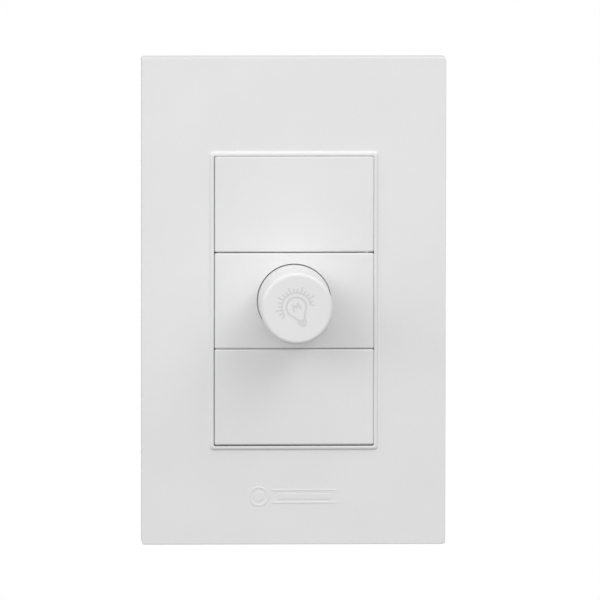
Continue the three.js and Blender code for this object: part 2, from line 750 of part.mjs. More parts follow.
// A brass tunnel clamp with the leg that carries it on the circuit board.
function terminalCage(side) {
  const { x, tunnel, tunnelY, front, rear, halfWidth, legX, legY } = TERMINAL;
  const block = box(side * x - halfWidth, side * x + halfWidth, -5.4, 4, rear, front);
  const wireWay = post(side * x, tunnelY, tunnel, tunnel, rear - CUT, front + CUT);
  const tapped = upright(1.75, -1, 5).translate([side * x, 0, SCREW_Z]);
  const leg = post(side * legX, legY, 1, 0.7, front - 0.5, BOARD.front + 0.8);
  return union(cut(block, wireWay, tapped), leg);
}

function terminalScrew(side) {
  const { screwRadius, headRadius } = TERMINAL;
  const shank = upright(screwRadius, 0.5, 5.2, 16);
  const head = upright(headRadius, 4.9, 7.3);
  const slot = box(-3, 3, 6.4, 8, -0.4, 0.4);
  return cut(union(shank, head), slot).translate([side * TERMINAL.x, 0, SCREW_Z]);
}

// ---------------------------------------------------------------- assembly

const dimmer = new THREE.Group(); // the part's frame: +Z up, front towards -Y
const face = new THREE.Group(); // the frame that the pieces are drawn in
face.rotation.x = Math.PI / 2;
dimmer.add(face);

const wallUnit = new THREE.Group(); // everything that stays still
const rotor = new THREE.Group(); // everything that turns with the knob
rotor.rotation.z = THREE.MathUtils.degToRad(KNOB.restAngle);
face.add(wallUnit, rotor);

function place(group, name, material, shape, x = 0, y = 0) {
  const mesh = new THREE.Mesh(geometryOf(shape), material);
  mesh.name = name;
  mesh.position.set(x, y, 0);
  group.add(mesh);
}

place(wallUnit, "cover_plate", whitePlastic, coverPlate());
place(wallUnit, "support_frame", framePlastic, supportFrame());
place(wallUnit, "mounting_screw_top", zincSteel, boxScrew(), 0, BOX_SCREW_Y);
place(wallUnit, "mounting_screw_bottom", zincSteel, boxScrew(), 0, -BOX_SCREW_Y);
place(wallUnit, "blank_module_top", whitePlastic, blankModule(), 0, MODULE.topY);
place(wallUnit, "blank_module_bottom", whitePlastic, blankModule(), 0, MODULE.bottomY);
place(wallUnit, "dimmer_front_cap", whitePlastic, dimmerFrontCap());
place(wallUnit, "dimmer_housing", housingPlastic, dimmerHousing());

place(wallUnit, "pot_bushing", brass, potBushing());
place(wallUnit, "pot_lock_washer", zincSteel, potLockWasher());
place(wallUnit, "pot_nut", zincSteel, potNut());
place(wallUnit, "pot_wafer", phenolic, potWafer());
place(wallUnit, "pot_carbon_track", carbon, potTrack());
place(wallUnit, "pot_can", zincSteel, potCan());
place(wallUnit, "pot_pin_left", zincSteel, potPin(-POT.pinX));
place(wallUnit, "pot_pin_middle", zincSteel, potPin(0));
place(wallUnit, "pot_pin_right", zincSteel, potPin(POT.pinX));

place(wallUnit, "circuit_board", boardGreen, circuitBoard());
place(wallUnit, "triac_body", blackPlastic, triacBody());
place(wallUnit, "triac_tab", aluminium, triacTab());
["left", "middle", "right"].forEach((name, i) =>
  place(wallUnit, "triac_leg_" + name, zincSteel, triacLeg(i - 1)),
);
place(wallUnit, "heat_sink", aluminium, heatSink());
place(wallUnit, "heat_sink_screw", zincSteel, heatSinkScrew());
place(wallUnit, "choke_core", ferrite, chokeCore());
place(wallUnit, "choke_winding", copper, chokeWinding());
place(wallUnit, "mains_capacitor", capacitorYellow, boxCapacitor(8.9, 5.6, 10, 5, -19.5));
place(wallUnit, "timing_capacitor", capacitorRed, boxCapacitor(-0.3, 6.7, 6.4, 2.6, -16.5));
place(wallUnit, "timing_resistor", resistorBeige, axialPart(10.5, -2.3, 6.2, 1.1, 4.8));
place(wallUnit, "snubber_resistor", resistorBeige, axialPart(9.8, -6.8, 6.2, 1.1, 4.2));
place(wallUnit, "trigger_diac", glassRed, axialPart(1.4, 2, 3.6, 0.85, 3.6));
place(wallUnit, "fuse", fuseSand, axialPart(10.5, 1, 7, 1.2, 4.8));

for (const [side, wire] of [[-1, "line"], [1, "load"]]) {
  place(wallUnit, "terminal_cage_" + wire, brass, terminalCage(side));
  place(wallUnit, "terminal_screw_" + wire, zincSteel, terminalScrew(side));
}

place(rotor, "knob", knobPlastic, knob());
place(rotor, "knob_clip", springSteel, knobClip());
place(rotor, "pot_shaft", aluminium, potShaft());
place(rotor, "shaft_retaining_ring", springSteel, shaftRing());
place(rotor, "pot_rotor", blackPlastic, potRotor());
place(rotor, "pot_wiper", bronze, potWiper());

export default dimmer;
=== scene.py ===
"""Looks for the rotary wall dimmer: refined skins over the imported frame, materials, light and camera.

Shapes are drawn in the face frame, in millimetres: x to the right, y up and z out of the wall.
row() turns such a point into the row frame, in metres: +Z up and the front towards -Y.
"""

import math

import bmesh
import bpy
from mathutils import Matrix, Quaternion, Vector


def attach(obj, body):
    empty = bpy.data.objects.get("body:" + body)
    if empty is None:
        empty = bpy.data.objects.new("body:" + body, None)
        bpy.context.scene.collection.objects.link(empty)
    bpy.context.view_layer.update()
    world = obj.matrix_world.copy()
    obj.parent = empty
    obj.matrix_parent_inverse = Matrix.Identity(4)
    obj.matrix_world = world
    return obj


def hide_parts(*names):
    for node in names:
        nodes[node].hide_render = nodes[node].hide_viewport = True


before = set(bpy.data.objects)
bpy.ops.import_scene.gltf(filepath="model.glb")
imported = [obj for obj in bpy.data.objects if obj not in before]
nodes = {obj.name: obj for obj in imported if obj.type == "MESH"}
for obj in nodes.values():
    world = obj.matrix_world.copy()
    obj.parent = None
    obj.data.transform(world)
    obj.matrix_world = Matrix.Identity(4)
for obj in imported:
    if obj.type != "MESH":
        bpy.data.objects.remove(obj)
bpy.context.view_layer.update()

MM = 0.001
QUARTER_TURN = math.pi / 2

PLATE_W, PLATE_H, PLATE_X, PLATE_Y, PLATE_Z = 75.0, 120.5, -0.08, -0.13, 8.0
PLATE_CORNER, PLATE_EDGE, PLATE_WALL, PLATE_INSIDE = 0.8, 0.16, 1.6, 6.2
OPENING_W, OPENING_H, OPENING_X, OPENING_Y, OPENING_CORNER = 39.46, 71.8, -0.06, -0.04, 0.4
BEAD_W, BEAD_CROWN, BEAD_FOOT = 0.98, 0.3, 0.07
MODULE_W, MODULE_H = 39.3, 23.7
TOP_Y, MIDDLE_Y, BOTTOM_Y = 23.98, 0.04, -23.77
FACE_Z, FACE_BACK = 8.5, 6.5
SKIRT_W, SKIRT_H, SKIRT_WALL = 36.4, 22.8, 1.3
WELL_R, WELL_X, WELL_Y, WELL_Z = 9.14, -0.03, 0.1, 6.0
KNOB_R, KNOB_FRONT_R, KNOB_FOOT, KNOB_TOP = 9.02, 8.8, 6.7, 27.985
KNOB_ANGLE = math.radians(22.5)
BOX_SCREW_Y = 41.65
WELD = 0.1  # how far a rib or skirt reaches into the piece it belongs to


def row(x, y, z):
    return (x * MM, -z * MM, y * MM)


# ---------------------------------------------------------------- materials


def new_material(name):
    material = bpy.data.materials.new(name)
    material.use_nodes = True
    tree = material.node_tree
    return material, tree, tree.nodes["Principled BSDF"]


def add(tree, kind, **values):
    node = tree.nodes.new(kind)
    for key, value in values.items():
        if key in node.inputs:
            node.inputs[key].default_value = value
        else:
            setattr(node, key, value)
    return node


def noise(tree, coordinates, scale, detail=2.0, roughness=0.5, distortion=0.0):
    node = add(tree, "ShaderNodeTexNoise")
    node.inputs["Scale"].default_value = scale
    node.inputs["Detail"].default_value = detail
    node.inputs["Roughness"].default_value = roughness
    node.inputs["Distortion"].default_value = distortion
    tree.links.new(coordinates, node.inputs["Vector"])
    return node.outputs["Fac"]


def spread(tree, factor, low, high, start=0.35, stop=0.65):
    """The factor carried from start..stop to low..high."""
    node = add(tree, "ShaderNodeMapRange")
    node.inputs["From Min"].default_value = start
    node.inputs["From Max"].default_value = stop
    node.inputs["To Min"].default_value = low
    node.inputs["To Max"].default_value = high
    tree.links.new(factor, node.inputs["Value"])
    return node.outputs["Result"]


def blend_colours(tree, factor, first, second):
    """Goes from the first colour to the second; the first may also be another node's output."""
    node = add(tree, "ShaderNodeMix", data_type="RGBA")
    sockets = [s for s in node.inputs if s.type == "RGBA"]
    if isinstance(first, tuple):
        sockets[0].default_value = (*first, 1.0)
    else:
        tree.links.new(first, sockets[0])
    sockets[1].default_value = (*second, 1.0)
    tree.links.new(factor, node.inputs["Factor"])
    return next(s for s in node.outputs if s.type == "RGBA")


def total(tree, first, second):
    node = add(tree, "ShaderNodeMath", operation="ADD")
    tree.links.new(first, node.inputs[0])
    tree.links.new(second, node.inputs[1])
    return node.outputs[0]


def bump(tree, height, strength, distance, under=None):
    node = add(tree, "ShaderNodeBump")
    node.inputs["Strength"].default_value = strength
    node.inputs["Distance"].default_value = distance
    tree.links.new(height, node.inputs["Height"])
    if under is not None:
        tree.links.new(under, node.inputs["Normal"])
    return node.outputs["Normal"]


def object_space(tree, stretch=(1.0, 1.0, 1.0)):
    """Object coordinates, stretched along an axis for a drawn or brushed grain."""
    coordinates = add(tree, "ShaderNodeTexCoord").outputs["Object"]
    mapping = add(tree, "ShaderNodeMapping")
    mapping.inputs["Scale"].default_value = stretch
    tree.links.new(coordinates, mapping.inputs["Vector"])
    return mapping.outputs["Vector"]


def moulded(name, colour, rough, grain=2600.0, depth=4e-6, shade=0.985):
    """Injection-moulded plastic: a fine spark-eroded grain over a slow drift in gloss and colour."""
    material, tree, shader = new_material(name)
    where = object_space(tree)
    slow = noise(tree, where, 45.0, 3.0, 0.55)
    fine = noise(tree, where, grain, 2.0, 0.6)
    wave = noise(tree, where, 95.0, 1.0, 0.4)
    darker = tuple(c * shade for c in colour)
    tint = blend_colours(tree, spread(tree, slow, 0.0, 1.0), colour, darker)
    tree.links.new(tint, shader.inputs["Base Color"])
    gloss = total(tree, spread(tree, slow, rough - 0.03, rough + 0.03), spread(tree, fine, -0.04, 0.04))
    tree.links.new(gloss, shader.inputs["Roughness"])
    flow = bump(tree, wave, 0.25, 6e-6)
    tree.links.new(bump(tree, fine, 0.5, depth, flow), shader.inputs["Normal"])
    return material


def metal(name, colour, rough, grain=900.0, stretch=(1.0, 1.0, 1.0), tarnish=None, depth=3e-6):
    """Bare or plated metal with a drawn or tumbled grain and patches of duller surface."""
    material, tree, shader = new_material(name)
    where = object_space(tree, stretch)
    fine = noise(tree, where, grain, 3.0, 0.6)
    patches = noise(tree, object_space(tree), 160.0, 4.0, 0.6, 0.3)
    dull = tarnish or tuple(c * 0.82 for c in colour)
    tint = blend_colours(tree, spread(tree, patches, 0.0, 1.0, 0.4, 0.7), colour, dull)
    tree.links.new(tint, shader.inputs["Base Color"])
    gloss = total(tree, spread(tree, patches, rough - 0.05, rough + 0.12), spread(tree, fine, -0.05, 0.05))
    tree.links.new(gloss, shader.inputs["Roughness"])
    tree.links.new(bump(tree, fine, 0.4, depth), shader.inputs["Normal"])
    shader.inputs["Metallic"].default_value = 1.0
    return material


def speckled(name, colour, fleck, rough, scale, depth=1.2e-5):
    """A pressed or sintered body with flecks of a second colour."""
    material, tree, shader = new_material(name)
    where = object_space(tree)
    flecks = noise(tree, where, scale, 4.0, 0.7)
    tint = blend_colours(tree, spread(tree, flecks, 0.0, 1.0, 0.45, 0.62), colour, fleck)
    tree.links.new(tint, shader.inputs["Base Color"])
    tree.links.new(spread(tree, flecks, rough - 0.08, rough + 0.08), shader.inputs["Roughness"])
    tree.links.new(bump(tree, flecks, 0.5, depth), shader.inputs["Normal"])
    return material


def banded(name, body, bands, start, pitch, rough=0.35):
    """A lacquered axial part with painted rings across x, the first of them at `start` in millimetres."""
    band_width = 0.5
    material, tree, shader = new_material(name)
    where = object_space(tree)
    split = add(tree, "ShaderNodeSeparateXYZ")
    tree.links.new(where, split.inputs[0])
    colour = body
    for i, band in enumerate(bands):
        inside = add(tree, "ShaderNodeMath", operation="COMPARE")
        tree.links.new(split.outputs["X"], inside.inputs[0])
        inside.inputs[1].default_value = (start + i * pitch) * MM
        inside.inputs[2].default_value = band_width * MM / 2
        colour = blend_colours(tree, inside.outputs[0], colour, band)
    tree.links.new(colour, shader.inputs["Base Color"])
    runs = noise(tree, where, 500.0, 2.0)
    tree.links.new(spread(tree, runs, rough - 0.06, rough + 0.06), shader.inputs["Roughness"])
    tree.links.new(bump(tree, runs, 0.3, 1.5e-5), shader.inputs["Normal"])
    return material


plate_white = moulded("plate_white", (0.83, 0.83, 0.83), 0.42)
module_white = moulded("module_white", (0.82, 0.82, 0.82), 0.38, grain=3200.0, depth=3e-6)
knob_white = moulded("knob_white", (0.82, 0.82, 0.82), 0.36, grain=3600.0, depth=2.5e-6)
print_grey = moulded("print_grey", (0.70, 0.70, 0.70), 0.5, grain=5200.0, depth=5e-6)
frame_grey = moulded("frame_grey", (0.70, 0.71, 0.70), 0.55, grain=1500.0, depth=8e-6, shade=0.96)
housing_grey = moulded("housing_grey", (0.60, 0.62, 0.64), 0.5, grain=1500.0, depth=8e-6, shade=0.95)
black_epoxy = moulded("black_epoxy", (0.025, 0.025, 0.027), 0.5, grain=1900.0, depth=1e-5, shade=0.7)
zinc = metal("zinc_plate", (0.62, 0.64, 0.66), 0.3, grain=1300.0, tarnish=(0.52, 0.52, 0.50))
spring = metal("spring_steel", (0.46, 0.47, 0.49), 0.26, stretch=(1.0, 1.0, 6.0))
brass = metal("brass", (0.76, 0.56, 0.24), 0.3, tarnish=(0.52, 0.36, 0.15))
bronze = metal("bronze", (0.66, 0.41, 0.20), 0.3, tarnish=(0.42, 0.25, 0.12))
tin = metal("tinned_lead", (0.70, 0.70, 0.69), 0.25, grain=1600.0)
copper = metal("enamelled_copper", (0.72, 0.30, 0.12), 0.22, grain=2200.0, tarnish=(0.50, 0.19, 0.07))
aluminium = metal("mill_aluminium", (0.72, 0.73, 0.74), 0.38, stretch=(1.0, 1.0, 0.08), depth=5e-6)
turned_aluminium = metal("turned_aluminium", (0.74, 0.75, 0.76), 0.3, stretch=(0.2, 1.0, 0.2))
phenolic = speckled("phenolic", (0.34, 0.18, 0.07), (0.22, 0.11, 0.04), 0.55, 700.0)
laminate = speckled("solder_resist", (0.03, 0.17, 0.06), (0.05, 0.24, 0.09), 0.35, 380.0, 6e-6)
carbon = speckled("carbon_film", (0.02, 0.02, 0.02), (0.05, 0.05, 0.05), 0.6, 2600.0)
ferrite = speckled("ferrite", (0.06, 0.06, 0.065), (0.12, 0.12, 0.125), 0.62, 1500.0, 2e-5)
film_box = moulded("film_box", (0.72, 0.47, 0.07), 0.3, grain=1500.0, depth=6e-6, shade=0.9)
dipped = moulded("dipped_lacquer", (0.42, 0.06, 0.03), 0.22, grain=600.0, depth=2.5e-5, shade=0.8)
fuse_sand = speckled("fuse_body", (0.74, 0.70, 0.60), (0.64, 0.59, 0.49), 0.55, 900.0)

TAN, BROWN, BLACK, ORANGE = (0.62, 0.48, 0.30), (0.20, 0.09, 0.03), (0.02, 0.02, 0.02), (0.75, 0.28, 0.04)
YELLOW, VIOLET, GOLD = (0.70, 0.58, 0.10), (0.16, 0.06, 0.30), (0.55, 0.40, 0.14)
AMBER, NAVY = (0.48, 0.16, 0.05), (0.1, 0.2, 0.5)
timing_bands = banded("timing_bands", TAN, (BROWN, BLACK, ORANGE, GOLD), 8.6, 1.1)
snubber_bands = banded("snubber_bands", TAN, (YELLOW, VIOLET, BROWN, GOLD), 7.9, 1.1)
diac_glass = banded("diac_glass", AMBER, (NAVY,), 0.4, 1.0, rough=0.15)


# ---------------------------------------------------------------- mesh building


def rounded(width, height, radius, z, x=0.0, y=0.0, steps=8):
    """A rectangle with round corners as a loop of points."""
    right, top = width / 2 - radius, height / 2 - radius
    corners = ((right, top, 0), (-right, top, 1), (-right, -top, 2), (right, -top, 3))
    loop = []
    for cx, cy, quarter in corners:
        for step in range(steps + 1):
            angle = QUARTER_TURN * (quarter + step / steps)
            loop.append((x + cx + radius * math.cos(angle), y + cy + radius * math.sin(angle), z))
    return loop


def circle(radius, z, x=0.0, y=0.0, count=128):
    turns = [2 * math.pi * i / count for i in range(count)]
    return [(x + radius * math.cos(angle), y + radius * math.sin(angle), z) for angle in turns]


def rounding(radius, steps=5):
    """(inset, drop) pairs over a quarter round, from the side wall to the face."""
    lead = radius * 1.12
    pairs = [(0.0, lead)]
    for step in range(steps + 1):
        angle = QUARTER_TURN * step / steps
        pairs.append((radius * (1 - math.cos(angle)), radius * (1 - math.sin(angle))))
    pairs.append((lead, 0.0))
    return pairs


class Shape:
    """A mesh under construction."""

    def __init__(self):
        self.bm = bmesh.new()

    def ring(self, points):
        return [self.bm.verts.new(row(*p)) for p in points]

    def bridge(self, first, second):
        count = len(first)
        for i in range(count):
            j = (i + 1) % count
            self.bm.faces.new((first[i], first[j], second[j], second[i]))

    def loft(self, loops, closed=False, start_cap=False, end_cap=False):
        rings = [self.ring(points) for points in loops]
        for first, second in zip(rings, rings[1:]):
            self.bridge(first, second)
        if closed:
            self.bridge(rings[-1], rings[0])
        if start_cap:
            self.bm.faces.new(rings[0])
        if end_cap:
            self.bm.faces.new(rings[-1])
        return rings

    def fill(self, *rings):
        """A flat face between an outer loop and the holes in it."""
        edges = [self.bm.edges.get((r[i], r[(i + 1) % len(r)])) for r in rings for i in range(len(r))]
        bmesh.ops.triangle_fill(self.bm, use_beauty=True, edges=edges)

    def spindle(self, profile, count=64, x=0.0, y=0.0):
        """A closed [radius, z] profile turned about z; it starts and ends on the axis."""
        low = self.bm.verts.new(row(x, y, profile[0][1]))
        high = self.bm.verts.new(row(x, y, profile[-1][1]))
        rings = [self.ring(circle(r, z, x, y, count)) for r, z in profile[1:-1]]
        for first, second in zip(rings, rings[1:]):
            self.bridge(first, second)
        for i in range(count):
            j = (i + 1) % count
            self.bm.faces.new((low, rings[0][i], rings[0][j]))
            self.bm.faces.new((high, rings[-1][i], rings[-1][j]))

    def block(self, x0, x1, y0, y1, z0, z1, edge=0.12):
        """A box with softened edges."""
        made = bmesh.ops.create_cube(self.bm, size=1.0)["verts"]
        size, middle = (x1 - x0, y1 - y0, z1 - z0), ((x0 + x1) / 2, (y0 + y1) / 2, (z0 + z1) / 2)
        for vert in made:
            vert.co = Vector(row(*(m + c * s for m, c, s in zip(middle, vert.co, size))))
        edges = list({e for v in made for e in v.link_edges})
        bmesh.ops.bevel(self.bm, geom=edges, offset=edge * MM, segments=2, affect="EDGES", profile=0.6)

    def turn(self, angle):
        """Turns it about the knob's axis, counterclockwise as seen from the room."""
        c, s = math.cos(angle), math.sin(angle)
        for vert in self.bm.verts:
            x, z = vert.co.x, vert.co.z
            vert.co.x, vert.co.z = x * c - z * s, x * s + z * c

    def take(self, other):
        """Moves another shape's mesh into this one."""
        carrier = bpy.data.meshes.new("carrier")
        other.bm.to_mesh(carrier)
        other.bm.free()
        self.bm.from_mesh(carrier)
        bpy.data.meshes.remove(carrier)

    def build(self, name):
        bmesh.ops.recalc_face_normals(self.bm, faces=self.bm.faces)
        mesh = bpy.data.meshes.new(name)
        self.bm.to_mesh(mesh)
        self.bm.free()
        thing = bpy.data.objects.new(name, mesh)
        bpy.context.scene.collection.objects.link(thing)
        return thing


def carve(target, *cutters):
    """Cuts the cutters out of the target and removes them."""
    for cutter in cutters:
        modifier = target.modifiers.new("carve", "BOOLEAN")
        modifier.operation = "DIFFERENCE"
        modifier.solver = "EXACT"
        modifier.object = cutter
    graph = bpy.context.evaluated_depsgraph_get()
    carved = bpy.data.meshes.new_from_object(target.evaluated_get(graph))
    target.modifiers.clear()
    target.data = carved
    for cutter in cutters:
        bpy.data.objects.remove(cutter)


def merge(target, *others):
    """Adds the other objects' meshes to the target's mesh."""
    joined = bmesh.new()
    joined.from_mesh(target.data)
    for other in others:
        joined.from_mesh(other.data)
        bpy.data.objects.remove(other)
    joined.to_mesh(target.data)
    joined.free()


def weigh_normals(thing, weight=50):
    weighted = thing.modifiers.new("weighted", "WEIGHTED_NORMAL")
    weighted.keep_sharp = True
    weighted.weight = weight


def dress(thing, material, body, slot, *replaced):
    """Gives a new piece its material, its body and the CAD nodes it stands for; the slot is not used."""
    thing.data.materials.clear()
    thing.data.materials.append(material)
    thing.data.polygons.foreach_set("use_smooth", [True] * len(thing.data.polygons))
    thing.data.set_sharp_from_angle(angle=math.radians(32.0))
    weigh_normals(thing)
    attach(thing, body)
    if replaced:
        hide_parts(*replaced)
    return thing


# ---------------------------------------------------------------- cover plate


def cover_plate():
    """One skin closed on itself: foot, outside, bead, opening, inside."""

    def outline(inset, z, radius):
        return rounded(PLATE_W - 2 * inset, PLATE_H - 2 * inset, radius, z, PLATE_X, PLATE_Y)

    side = [(0.2, 0.0), (0.06, 0.06), (0.0, 0.2)]
    side += [(inset, PLATE_Z - drop) for inset, drop in rounding(PLATE_EDGE, 4)]
    outer = [outline(inset, z, PLATE_CORNER - 0.5 * inset) for inset, z in side]

    bead = [(BEAD_W + 0.3, PLATE_Z), (BEAD_W + 0.1, PLATE_Z)]
    bead += [(BEAD_W + 0.03, PLATE_Z + 0.02), (BEAD_W, PLATE_Z + BEAD_FOOT)]
    climb = FACE_Z - PLATE_Z - BEAD_FOOT
    for step in range(1, 9):
        angle = QUARTER_TURN * step / 8
        reach = BEAD_CROWN + (BEAD_W - BEAD_CROWN) * math.cos(angle)
        bead.append((reach, FACE_Z - climb + climb * math.sin(angle)))
    bead += [(inset, FACE_Z - drop) for inset, drop in reversed(rounding(0.15, 4))]
    bead += [(0.0, PLATE_INSIDE + 0.25), (0.04, PLATE_INSIDE + 0.1)]
    bead += [(0.16, PLATE_INSIDE), (0.3, PLATE_INSIDE)]
    rim = []
    for reach, z in bead:
        width, height, radius = OPENING_W + 2 * reach, OPENING_H + 2 * reach, OPENING_CORNER + 0.5 * reach
        rim.append(rounded(width, height, radius, z, OPENING_X, OPENING_Y + 0.08 * reach))

    cavity = [(PLATE_WALL + 0.3, PLATE_INSIDE), (PLATE_WALL + 0.12, PLATE_INSIDE - 0.04)]
    cavity += [(PLATE_WALL, PLATE_INSIDE - 0.2), (PLATE_WALL, 0.2)]
    cavity += [(PLATE_WALL - 0.08, 0.05), (PLATE_WALL - 0.22, 0.0)]
    inner = [outline(inset, z, 0.5) for inset, z in cavity]

    skin = Shape()
    skin.loft(outer + rim + inner, closed=True)
    plate = skin.build("cover_plate_skin")
    pry_notch = Shape()
    low = PLATE_Y - PLATE_H / 2
    pry_notch.block(-4.0, 4.0, low - 1.0, low + 2.6, -1.0, 1.1, 0.25)
    carve(plate, pry_notch.build("notch"))
    merge(plate, plate_ribs())
    return dress(plate, plate_white, "wall_unit", "cover_plastic", "cover_plate")


def plate_ribs():
    """Behind the plate: the collar round the modules, the stiffening ribs and the barbed posts."""
    ribs = Shape()
    width, height, wall, rear, front = 43.6, 75.6, 0.9, 3.2, 6.4
    collar = [(0.0, front), (0.0, rear + 0.15), (0.1, rear)]
    collar += [(wall - 0.1, rear), (wall, rear + 0.15), (wall, front)]
    ribs.loft([rounded(width - 2 * inset, height - 2 * inset, 1.2, z) for inset, z in collar], closed=True)

    half, rib_rear, rib_front = 0.5, 3.8, 6.5
    for side in (-1, 1):
        for y in (-15, 15):
            reach = sorted((side * 21.6, side * 36.3))
            ribs.block(*reach, y - half, y + half, rib_rear, rib_front)
        for x in (-12, 12):
            reach = sorted((side * 37.6, side * 59.1))
            ribs.block(x - half, x + half, *reach, rib_rear, rib_front)
        for up in (-1, 1):
            barbed_post(ribs, side * 27, up)
    return ribs.build("plate_ribs")


def barbed_post(shape, x, up):
    """A post that snaps into the support frame; its barb faces up or down, away from the middle."""
    y, half, rear, front = up * 45.5, 3, 0.5, 6.5
    shape.block(x - half, x + half, y - 0.9, y + 0.9, rear, front)
    barb = [(0.5, rear), (1.04, rear), (1.3, 1.5), (1.3, 1.9), (0.5, 1.9)]
    loops = [[(x + across, y + up * out, z) for out, z in barb] for across in (0.05 - half, half - 0.05)]
    shape.loft(loops, start_cap=True, end_cap=True)


def plate_marks():
    """Plain raised marks low on the plate: a ring round a dot, and a blank bar between two lines."""
    x, y, top, base = -8.66, -48.45, PLATE_Z + 0.1, PLATE_Z - 0.2
    mark = Shape()
    ring = [(2.4, base), (2.4, top - 0.05), (2.35, top), (2.1, top), (2.05, top - 0.05), (2.05, base)]
    mark.loft([circle(r, z, x, y, 64) for r, z in ring], closed=True)
    dot = [(0.0, base), (1.2, base), (1.2, top - 0.06), (1.12, top), (0.0, top)]
    mark.spindle(dot, 48, x, y)
    for line in (y + 1.55, y - 1.55):
        mark.block(-5.4, 10.4, line - 0.18, line + 0.18, base, top, 0.05)
    mark.block(-3.8, 9.0, y - 0.7, y + 0.7, base, top - 0.02, 0.05)
    return dress(mark.build("plate_marks"), plate_white, "wall_unit", "cover_plastic")


# ---------------------------------------------------------------- modules


def module_face(shape, y, open_middle=False):
    """The face plate of a module, from its back edge over the rounded front edge."""
    loops = [rounded(MODULE_W - 0.3, MODULE_H - 0.3, 0.4, FACE_BACK, 0, y)]
    loops += [rounded(MODULE_W, MODULE_H, 0.45, FACE_BACK + 0.15, 0, y)]
    for inset, drop in rounding(0.4):
        width, height = MODULE_W - 2 * inset, MODULE_H - 2 * inset
        loops.append(rounded(width, height, 0.45 - 0.7 * inset, FACE_Z - drop, 0, y))
    rings = shape.loft(loops)
    if not open_middle:
        shape.fill(rings[-1])
        shape.fill(rings[0])
    return rings


def module_skirt(y, end):
    """The wall behind a module's face, down to z = end."""
    skirt = Shape()
    joint = FACE_BACK + WELD
    walls = [(0.0, joint), (0.0, end + 0.25), (0.2, end)]
    walls += [(SKIRT_WALL - 0.2, end), (SKIRT_WALL, end + 0.25), (SKIRT_WALL, joint)]
    loops = [rounded(SKIRT_W - 2 * inset, SKIRT_H - 2 * inset, 0.8, z, 0, y) for inset, z in walls]
    skirt.loft(loops, closed=True)
    return skirt.build("skirt")


def side_catches(y):
    """The wedge on each side of the skirt that snaps behind the support frame."""
    catches = Shape()
    wedge = [(18.0, 2.9), (18.45, 2.9), (18.98, 4.2), (19.0, 4.32), (19.0, 4.62), (18.94, 4.7), (18.0, 4.7)]
    for side in (-1, 1):
        loops = [[(side * out, y + reach, z) for out, z in wedge] for reach in (-3.5, 3.5)]
        catches.loft(loops, start_cap=True, end_cap=True)
    return catches.build("catches")


def blank_module(name, y, node):
    face = Shape()
    module_face(face, y)
    rib_end, joint, half = -1.5, FACE_BACK + WELD, 0.5
    face.block(-17.2, 17.2, y - half, y + half, rib_end, joint)
    for x in (-8.6, 0.0, 8.6):
        face.block(x - half, x + half, y - 10.4, y + 10.4, rib_end, joint)
    module = face.build(name)
    skirt = module_skirt(y, -2.5)
    notches = []
    for side in (-1, 1):
        notch = Shape()
        notch.block(side * 18 - 2, side * 18 + 2, y - 2.5, y + 2.5, -3.5, -1.2, 0.3)
        notches.append(notch.build("notch"))
    carve(skirt, *notches)
    merge(module, skirt, side_catches(y))
    return dress(module, module_white, "wall_unit", "module_plastic", node)


def front_cap():
    """The dimmer module's face with the knob's well, and the cup and the bore behind the well."""
    face = Shape()
    rings = module_face(face, MIDDLE_Y, open_middle=True)
    bore_r, cup_r, cup_end = 3.8, 10.5, 4.5
    well = [(WELL_R + inset, FACE_Z - drop) for inset, drop in reversed(rounding(0.12, 4))]
    well += [(WELL_R, WELL_Z + 0.2), (WELL_R - 0.06, WELL_Z + 0.06), (WELL_R - 0.2, WELL_Z)]
    well += [(bore_r + 0.1, WELL_Z), (bore_r, WELL_Z - 0.1)]
    well += [(bore_r, cup_end + 0.1), (bore_r + 0.1, cup_end)]
    well += [(cup_r - 0.15, cup_end), (cup_r, cup_end + 0.15), (cup_r, FACE_BACK)]
    inner = face.loft([circle(r, z, WELL_X, WELL_Y) for r, z in well])
    face.fill(rings[-1], inner[0])
    face.fill(rings[0], inner[-1])
    cap = face.build("front_cap_skin")
    skirt = module_skirt(MIDDLE_Y, -8.0)
    window = Shape()
    window.block(-4.2, 4.2, -15.0, 15.0, -6.3, -3.3, 0.3)
    carve(skirt, window.build("window"))
    merge(cap, skirt, side_catches(MIDDLE_Y))
    return dress(cap, module_white, "wall_unit", "module_plastic", "dimmer_front_cap")


# ---------------------------------------------------------------- knob


